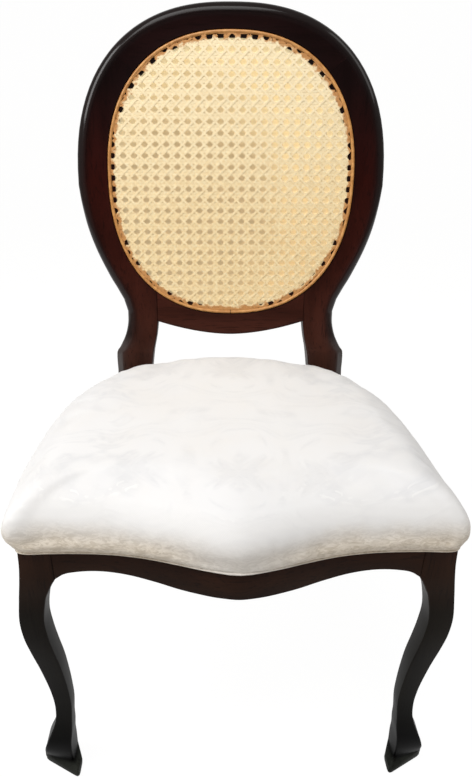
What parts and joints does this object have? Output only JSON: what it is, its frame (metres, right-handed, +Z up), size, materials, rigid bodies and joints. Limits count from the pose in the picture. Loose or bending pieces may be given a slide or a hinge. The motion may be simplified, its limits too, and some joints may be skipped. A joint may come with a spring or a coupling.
{
  "type": "balloon back dining chair",
  "caption": "Dining chair with a rounded oval cane back in a moulded dark wood frame, a padded seat with a serpentine front, and S-curved front legs.",
  "frame": {"origin": "on the floor below the middle of the chair's outline, level with the undersides of the four glides", "axes": "+Z up, +Y towards the back of the chair, +X to the right as seen from the front"},
  "size_m": [0.533, 0.5662, 0.9504],
  "materials": {
    "mahogany": "dark red-brown stained hardwood under gloss lacquer",
    "beech": "unfinished beech",
    "plywood": "unfinished plywood",
    "cane": "woven rattan cane, pale and lightly varnished",
    "reed": "split reed, satin",
    "lining": "plain woven cotton lining stretched behind the cane",
    "damask": "off-white tone-on-tone woven damask with a satin sheen",
    "foam": "soft cushion foam",
    "cambric": "black woven dust cloth",
    "steel": "zinc-plated screws",
    "nylon": "moulded nylon"
  },
  "bodies": {
    "root": {"left_front_leg": "mahogany", "left_back_post": "mahogany", "left_side_rail": "mahogany", "left_front_corner_block": "beech", "left_rear_corner_block": "beech", "left_front_glide": "nylon", "left_rear_glide": "nylon", "left_front_block_screw": "steel", "left_front_seat_screw": "steel", "left_rear_block_screw": "steel", "left_rear_seat_screw": "steel", "left_front_rail_dowel_1": "beech", "left_front_rail_dowel_2": "beech", "left_side_rail_front_dowel_1": "beech", "left_side_rail_front_dowel_2": "beech", "left_side_rail_rear_dowel_1": "beech", "left_side_rail_rear_dowel_2": "beech", "left_rear_rail_dowel_1": "beech", "left_rear_rail_dowel_2": "beech", "left_crest_dowel_1": "beech", "left_crest_dowel_2": "beech", "left_lower_back_rail_dowel_1": "beech", "left_lower_back_rail_dowel_2": "beech", "right_front_leg": "mahogany", "right_back_post": "mahogany", "right_side_rail": "mahogany", "right_front_corner_block": "beech", "right_rear_corner_block": "beech", "right_front_glide": "nylon", "right_rear_glide": "nylon", "right_front_block_screw": "steel", "right_front_seat_screw": "steel", "right_rear_block_screw": "steel", "right_rear_seat_screw": "steel", "right_front_rail_dowel_1": "beech", "right_front_rail_dowel_2": "beech", "right_side_rail_front_dowel_1": "beech", "right_side_rail_front_dowel_2": "beech", "right_side_rail_rear_dowel_1": "beech", "right_side_rail_rear_dowel_2": "beech", "right_rear_rail_dowel_1": "beech", "right_rear_rail_dowel_2": "beech", "right_crest_dowel_1": "beech", "right_crest_dowel_2": "beech", "right_lower_back_rail_dowel_1": "beech", "right_lower_back_rail_dowel_2": "beech", "front_rail": "mahogany", "rear_rail": "mahogany", "crest_rail": "mahogany", "lower_back_rail": "mahogany", "cane_webbing": "cane", "reed_spline": "reed", "back_lining": "lining", "lining_gimp": "reed", "seat_board": "plywood", "seat_foam": "foam", "seat_cover": "damask", "seat_welt": "damask", "dust_cover": "cambric"}
  },
  "joints": []
}
